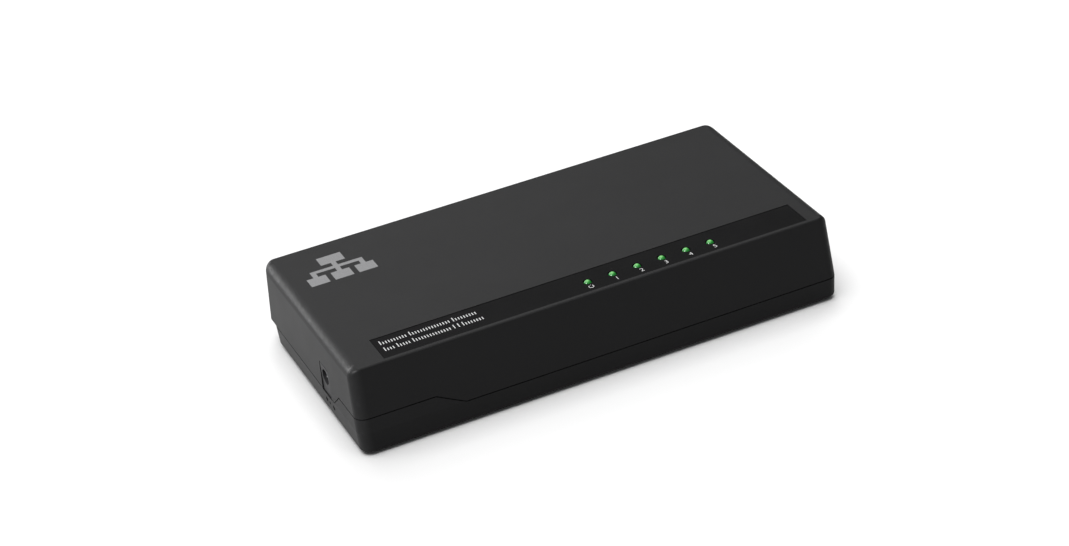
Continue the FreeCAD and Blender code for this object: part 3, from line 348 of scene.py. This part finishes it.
def light_pipe():
    """Clear green-lit lenses: pale in the middle, deep green towards the rim. The glow is the
    indicators' own light, and its pale spot sits off the middle as a painted highlight.
    """
    skin = Finish(
        "light_pipe", 0.16, Specular_IOR_Level=0.25, Emission_Strength=1.0, Subsurface_Weight=0.15,
    )
    # The glow's middle is moved off each lens's axis to place a painted highlight.
    moved = skin.add(
        "ShaderNodeVectorMath", {"operation": "SUBTRACT"},
        _0=skin.place, _1=(lamp_first_x - PAINTED_HIGHLIGHT_SHIFT, lamp_y, 0.0),
    )
    wrapped = skin.add(
        "ShaderNodeVectorMath", {"operation": "WRAP"}, _0=moved.outputs["Vector"],
        _1=(lamp_pitch / 2, 1.0, 1.0), _2=(-lamp_pitch / 2, -1.0, -1.0),
    )
    flat = skin.add(
        "ShaderNodeVectorMath", {"operation": "MULTIPLY"},
        _0=wrapped.outputs["Vector"], _1=(1.0, 1.0, 0.0),
    )
    radius = skin.add(
        "ShaderNodeVectorMath", {"operation": "LENGTH"}, _0=flat.outputs["Vector"],
    ).outputs["Value"]
    milky = skin.noise(0.5, 3.0)
    ring = skin.span(radius, 0.0, GLOW_RADIUS)
    ring = skin.math("ADD", ring, skin.span(milky, 0.3, 0.7, -0.05, 0.05))
    glow = skin.ramp(ring, [
        (0.0, (0.26, 0.68, 0.22)), (0.36, (0.13, 0.46, 0.11)),
        (0.60, (0.035, 0.24, 0.04)), (0.80, (0.008, 0.12, 0.014)), (1.0, (0.005, 0.11, 0.012)),
    ])
    body = skin.ramp(milky, [(0.3, (0.003, 0.020, 0.005)), (0.7, (0.006, 0.035, 0.009))])
    gloss = skin.span(milky, 0.3, 0.7, 0.12, 0.22)
    return skin.finish(body, gloss, skin.bump(milky, 0.004), Emission_Color=glow)


MAKERS = (
    case_plastic, legend_film, label_film, foot_rubber, screw_steel, light_pipe, led_body,
    board_laminate, chip_epoxy, thermal_pad, sink_aluminium, crystal_can, ferrite,
    capacitor_can, chip_ceramic, socket_plastic, shield_steel, contact_gold, tail_tin,
    inlet_plastic,
)
finishes = {maker.__name__: maker() for maker in MAKERS}
for row in frame["record"]["subparts"]:
    mesh = frame["nodes"][row["node"]].data
    mesh.materials.clear()
    mesh.materials.append(finishes[row["material_slot"]])


# Printed marks: thin inked shapes that lie on a face of the case; the polarity marks among them are
# painted shade.

INK_THICK = 0.02 * MM
INK_SUNK = 0.004 * MM

# Small signs on the strip and the tray: their stroke, and how their rings are drawn.
SIGN_STROKE = 0.22 * MM
ARC_STEPS = 28
WHOLE_RING = 2 * math.pi - 0.001

# A numeral's height, and that height as a share of the font's size. Each numeral and
# the power symbol stand a shift to the right of their indicator, and a drop before it.
NUMERAL_HEIGHT = 1.45 * MM
NUMERAL_SHARE = 0.7
NUMERAL_SHIFT = 0.1 * MM
NUMERAL_DROP = 2.6 * MM
SYMBOL_SHIFT = -0.2 * MM
SYMBOL_DROP = 2.65 * MM

# The tray's side walls lean out by the draft over the rise, up to the seam.
TRAY_DRAFT = 0.3 * MM
TRAY_RISE = 5.7 * MM
SEAM_Z = 6.4 * MM


def rectangle(x, y, width, height):
    """The corners of a rectangle round (x, y), anticlockwise."""
    left, right = x - width / 2, x + width / 2
    low, high = y - height / 2, y + height / 2
    return [(left, low), (right, low), (right, high), (left, high)]


def arc_points(x, y, radius, start, turn):
    """Points along an arc round (x, y)."""
    angles = [start + turn * step / ARC_STEPS for step in range(ARC_STEPS + 1)]
    return [(x + radius * math.cos(angle), y + radius * math.sin(angle)) for angle in angles]


def arc_band(x, y, radius, stroke, start=0.0, turn=WHOLE_RING):
    """The outline of a band that follows an arc; a ring stops just short of its start."""
    outer = arc_points(x, y, radius + stroke / 2, start, turn)
    inner = arc_points(x, y, radius - stroke / 2, start, turn)
    return outer + inner[::-1]


def frame_outline(x, y, width, height, stroke):
    """The four strokes of an empty rectangle, as bars that meet at the corners."""
    across = height - 2 * stroke
    return [
        rectangle(x, y + (height - stroke) / 2, width, stroke),
        rectangle(x, y - (height - stroke) / 2, width, stroke),
        rectangle(x - (width - stroke) / 2, y, stroke, across),
        rectangle(x + (width - stroke) / 2, y, stroke, across),
    ]


def prism(bm, outline):
    """A closed thin slab over the outline, from just under the face to the ink's top."""
    low = [bm.verts.new((x, y, -INK_SUNK)) for x, y in outline]
    high = [bm.verts.new((x, y, INK_THICK)) for x, y in outline]
    bm.faces.new(low[::-1])
    bm.faces.new(high)
    for a in range(len(outline)):
        b = (a + 1) % len(outline)
        bm.faces.new((low[a], low[b], high[b], high[a]))


def show(name, mesh, material):
    """Puts a finished mesh on the case."""
    mesh.materials.clear()
    mesh.materials.append(material)
    piece = bpy.data.objects.new(name, mesh)
    bpy.context.scene.collection.objects.link(piece)
    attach(piece, "root")
    return piece


def printed(name, outlines, onto, material):
    """Inks the outlines, in the plane that onto places on the object."""
    bm = bmesh.new()
    for outline in outlines:
        prism(bm, outline)
    bmesh.ops.triangulate(bm, faces=[face for face in bm.faces if len(face.verts) > 4])
    bmesh.ops.recalc_face_normals(bm, faces=bm.faces)
    bm.transform(onto)
    mesh = bpy.data.meshes.new(name)
    bm.to_mesh(mesh)
    bm.free()
    return show(name, mesh, material)


def numeral(name, text, height, x, y, onto, material):
    """One printed numeral, centred on (x, y)."""
    curve = bpy.data.curves.new(name, "FONT")
    curve.body = text
    curve.size = height / NUMERAL_SHARE
    curve.extrude = (INK_THICK + INK_SUNK) / 2
    holder = bpy.data.objects.new(name + "_draft", curve)
    bpy.context.scene.collection.objects.link(holder)
    bpy.context.view_layer.update()
    shaped = holder.evaluated_get(bpy.context.evaluated_depsgraph_get())
    mesh = bpy.data.meshes.new_from_object(shaped)
    bpy.data.objects.remove(holder)
    bpy.data.curves.remove(curve)
    xs = [vertex.co.x for vertex in mesh.vertices]
    ys = [vertex.co.y for vertex in mesh.vertices]
    across = x - (min(xs) + max(xs)) / 2
    along = y - (min(ys) + max(ys)) / 2
    raised = (INK_THICK - INK_SUNK) / 2
    mesh.transform(onto @ Matrix.Translation((across, along, raised)))
    mesh.name = name
    return show(name, mesh, material)


logo_ink = print_ink("logo_ink", (0.100, 0.100, 0.102))
legend_ink = print_ink("legend_ink", (0.24, 0.24, 0.24))
# Ink for the polarity marks: darker than the tray and without shine, as painted shade for an engraved
# mark's shadows.
engraving_shade_ink = print_ink("engraving_shade_ink", (0.0025, 0.0025, 0.0025), specular=0.0)
label_ink = print_ink("label_ink", (0.045, 0.045, 0.050))
on_top = Matrix.Translation((0.0, 0.0, case_high.z))
on_strip = Matrix.Translation((0.0, 0.0, strip_high.z))


def print_network_tree():
    """A plain tree of linked boxes at the rear left of the top."""
    left, right = case_low.x + 7.0 * MM, case_low.x + 24.8 * MM
    low, high = case_high.y - 21.6 * MM, case_high.y - 8.8 * MM
    middle = (left + right) / 2
    box_width, box_height, line = 5.0 * MM, 4.0 * MM, 1.3 * MM
    bus_y = (low + high) / 2
    shapes = [rectangle(middle, high - box_height / 2, box_width * 1.3, box_height)]
    trunk_top, bus_top = high - box_height, bus_y + line / 2
    shapes.append(rectangle(middle, (trunk_top + bus_top) / 2, line, trunk_top - bus_top))
    shapes.append(rectangle(middle, bus_y, right - left - box_width + line, line))
    drop_top, drop_low = bus_y - line / 2, low + box_height
    for x in (left + box_width / 2, middle, right - box_width / 2):
        shapes.append(rectangle(x, (drop_top + drop_low) / 2, line, drop_top - drop_low))
        shapes.append(rectangle(x, low + box_height / 2, box_width, box_height))
    printed("print_network_tree", shapes, on_top, logo_ink)


def print_strip_legend():
    """Two rows of fine ticks in groups, in the place of wording; the first of each is tall."""
    tick, pitch, space = 0.26 * MM, 0.72 * MM, 0.45 * MM
    tall, short = 1.8 * MM, 1.15 * MM
    rows = (
        (strip_low.y + 6.2 * MM, (10, 15, 9)),
        (strip_low.y + 3.0 * MM, (4, 5, 14, 1, 1, 8)),
    )
    shapes = []
    for base, groups in rows:
        x = strip_low.x + 1.6 * MM
        for group in groups:
            for height in [tall] + [short] * (group - 1):
                shapes.append(rectangle(x, base + height / 2, tick, height))
                x += pitch
            x += space
    printed("print_strip_legend", shapes, on_strip, legend_ink)


def print_power_symbol():
    """The ring and bar of a power symbol, before the first indicator."""
    x, y = lamp_first_x + SYMBOL_SHIFT, lamp_y - SYMBOL_DROP
    radius = 0.60 * MM
    half_gap = math.radians(38)
    ring = arc_band(x, y, radius, SIGN_STROKE, math.pi / 2 + half_gap, 2 * math.pi - 2 * half_gap)
    bar = rectangle(x, y + 0.62 * radius, SIGN_STROKE, 1.25 * radius)
    printed("print_power_symbol", [ring, bar], on_strip, legend_ink)


def print_numerals():
    y = lamp_y - NUMERAL_DROP
    for number in range(1, LAMPS):
        x = lamp_first_x + number * lamp_pitch + NUMERAL_SHIFT
        numeral(f"print_numeral_{number}", str(number), NUMERAL_HEIGHT, x, y, on_strip, legend_ink)


def print_polarity_marks():
    """The ring, dot and ring of a power inlet's polarity, on the tray below it, inked darker than the
    tray as painted shade for the shadows of an engraved mark.
    """
    inlet_low, inlet_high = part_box("dc_jack_housing")
    draft = TRAY_DRAFT / TRAY_RISE
    marks_z = 4.1 * MM
    out = draft * (SEAM_Z - marks_z)
    facing = Matrix(((0.0, 0.0, -1.0), (-1.0, 0.0, 0.0), (0.0, 1.0, 0.0))).to_4x4()
    lean = Matrix.Rotation(-math.atan(draft), 4, "Y")
    middle = Vector((case_low.x + out, (inlet_low.y + inlet_high.y) / 2, marks_z))
    wall = Matrix.Translation(middle) @ lean @ facing
    radius, bar = 0.55 * MM, 0.62 * MM
    first_x, dot_x, last_x = -1.2 * MM, 1.0 * MM, 3.7 * MM
    shapes = [arc_band(dot_x, 0.0, radius / 2, radius / 2)]
    for x in (first_x, last_x):
        shapes.append(arc_band(x, 0.0, radius, SIGN_STROKE))
        shapes.append(rectangle(x, 0.0, bar, SIGN_STROKE))
    # The dark polarity marks are painted shade, not ink on the real tray.
    printed("print_polarity_marks", shapes, wall, engraving_shade_ink)


def print_label_rules():
    """Empty ruled boxes on the label underneath, with no lettering."""
    low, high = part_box("rating_label")
    under = Matrix((
        (-1.0, 0.0, 0.0, (low.x + high.x) / 2),
        (0.0, 1.0, 0.0, (low.y + high.y) / 2),
        (0.0, 0.0, -1.0, low.z),
        (0.0, 0.0, 0.0, 1.0),
    ))
    margin, stroke, rows = 1.5 * MM, 0.25 * MM, 4
    width, height = high.x - low.x - 2 * margin, high.y - low.y - 2 * margin
    rule_x, rule_length = -width / 8, 0.62 * width
    shapes = frame_outline(0.0, 0.0, width, height, stroke)
    for row in range(1, rows):
        y = height / 2 - row * height / rows
        shapes.append(rectangle(rule_x, y, rule_length, stroke))
    printed("print_label_rules", shapes, under, label_ink)


print_network_tree()
print_strip_legend()
print_power_symbol()
print_numerals()
print_polarity_marks()
print_label_rules()


# Studio: a white floor and backdrop, an even surround and large soft lights.

FLOOR_HALF = 4.0
BACKDROP_RADIUS = 1.25
BACKDROP_HEIGHT = 0.8
SURROUND_STRENGTH = 0.20

# The camera: where it stands, and its angles in degrees.
CAMERA_PLACE = (-0.20446, -0.53560, 0.34314)
CAMERA_AZIMUTH = -20.570
CAMERA_ELEVATION = 29.888
CAMERA_ROLL = -7.312
LENS_MM = 87.97
SENSOR_WIDTH_MM = 36.0

# Each light: azimuth and elevation in degrees, distance, width, height, brightness.
# The first ones light everything, and the others only the object.
STUDIO_LIGHTS = {
    "overhead": (-84.0, 81.0, 3.2, 3.2, 2.85, 4.45),
    "rear_top": (160.0, 44.0, 1.9, 2.0, 1.1, 1.9),
}
OBJECT_LIGHTS = {
    "rear_fill": (180.0, 12.0, 1.8, 1.4, 0.5, 1.4),
    "rear_left": (-148.0, 13.0, 0.8, 0.64, 0.32, 8.5),
    "left": (-76.0, 34.0, 1.7, 0.72, 0.66, 56.0),
}


def stage(name, bm, material):
    """Puts a piece of the studio round the object."""
    mesh = bpy.data.meshes.new(name)
    bm.to_mesh(mesh)
    bm.free()
    mesh.materials.append(material)
    piece = bpy.data.objects.new(name, mesh)
    bpy.context.scene.collection.objects.link(piece)
    return piece


def make_floor():
    bm = bmesh.new()
    bmesh.ops.create_grid(bm, x_segments=8, y_segments=8, size=FLOOR_HALF)
    skin = Finish("studio_floor", 0.9, Specular_IOR_Level=0.0)
    tone = skin.ramp(skin.noise(180.0, 2.0), [(0.3, (0.82, 0.82, 0.82)), (0.7, (0.84, 0.84, 0.84))])
    return stage("studio_floor", bm, skin.finish(tone))


def make_backdrop():
    """A white wall that stands behind the object in level views and lights nothing."""
    bm = bmesh.new()
    bmesh.ops.create_cone(
        bm, cap_ends=False, segments=96,
        radius1=BACKDROP_RADIUS, radius2=BACKDROP_RADIUS, depth=BACKDROP_HEIGHT,
    )
    bmesh.ops.translate(bm, verts=bm.verts, vec=(0.0, 0.0, BACKDROP_HEIGHT / 2))
    white, black = (1.0, 1.0, 1.0, 1.0), (0.0, 0.0, 0.0, 1.0)
    skin = Finish(
        "studio_backdrop", 1.0,
        Base_Color=black, Specular_IOR_Level=0.0, Emission_Color=white, Emission_Strength=1.0,
    )
    wall = stage("studio_backdrop", bm, skin.finish())
    for rays in ("diffuse", "glossy", "transmission", "volume_scatter", "shadow"):
        setattr(wall, f"visible_{rays}", False)


def make_surround():
    """Even light from all round."""
    world = bpy.data.worlds.new("studio_surround")
    world.use_nodes = True
    background = world.node_tree.nodes["Background"]
    background.inputs["Color"].default_value = (1.0, 1.0, 1.0, 1.0)
    background.inputs["Strength"].default_value = SURROUND_STRENGTH
    bpy.context.scene.world = world


def softbox(name, azimuth, elevation, distance, width, height, brightness):
    """A soft area light aimed at the object, placed as the camera's angles are given."""
    light = bpy.data.lights.new(name, "AREA")
    light.shape = "RECTANGLE"
    light.size = width
    light.size_y = height
    light.energy = brightness * math.pi * width * height
    lamp = bpy.data.objects.new(name, light)
    bpy.context.scene.collection.objects.link(lamp)
    a, e = math.radians(azimuth), math.radians(elevation)
    back = Vector((math.sin(a) * math.cos(e), -math.cos(a) * math.cos(e), math.sin(e)))
    lamp.location = back * distance
    lamp.rotation_mode = "QUATERNION"
    lamp.rotation_quaternion = back.to_track_quat("Z", "Y")
    lamp.visible_camera = False
    return lamp


def keep_off(lamp, floor):
    """Lets the lamp light the object without a shadow or a pool of light on the floor."""
    receivers = bpy.data.collections.new(lamp.name + "_receivers")
    receivers.objects.link(floor)
    receivers.collection_objects[0].light_linking.link_state = "EXCLUDE"
    lamp.light_linking.receiver_collection = receivers


def make_camera():
    """A camera close by, above the front left, rolled a little."""
    data = bpy.data.cameras.new("camera")
    data.sensor_width = SENSOR_WIDTH_MM
    data.lens = LENS_MM
    data.clip_start = 0.01
    data.clip_end = 50.0
    camera = bpy.data.objects.new("camera", data)
    bpy.context.scene.collection.objects.link(camera)
    turn = Matrix.Rotation(math.radians(CAMERA_AZIMUTH), 4, "Z")
    tilt = Matrix.Rotation(math.radians(90.0 - CAMERA_ELEVATION), 4, "X")
    roll = Matrix.Rotation(math.radians(CAMERA_ROLL), 4, "Z")
    camera.matrix_world = Matrix.Translation(CAMERA_PLACE) @ turn @ tilt @ roll
    bpy.context.scene.camera = camera


floor = make_floor()
make_backdrop()
make_surround()
for name, setting in STUDIO_LIGHTS.items():
    softbox(name, *setting)
for name, setting in OBJECT_LIGHTS.items():
    keep_off(softbox(name, *setting), floor)
make_camera()
bpy.context.scene.view_settings.view_transform = "Standard"
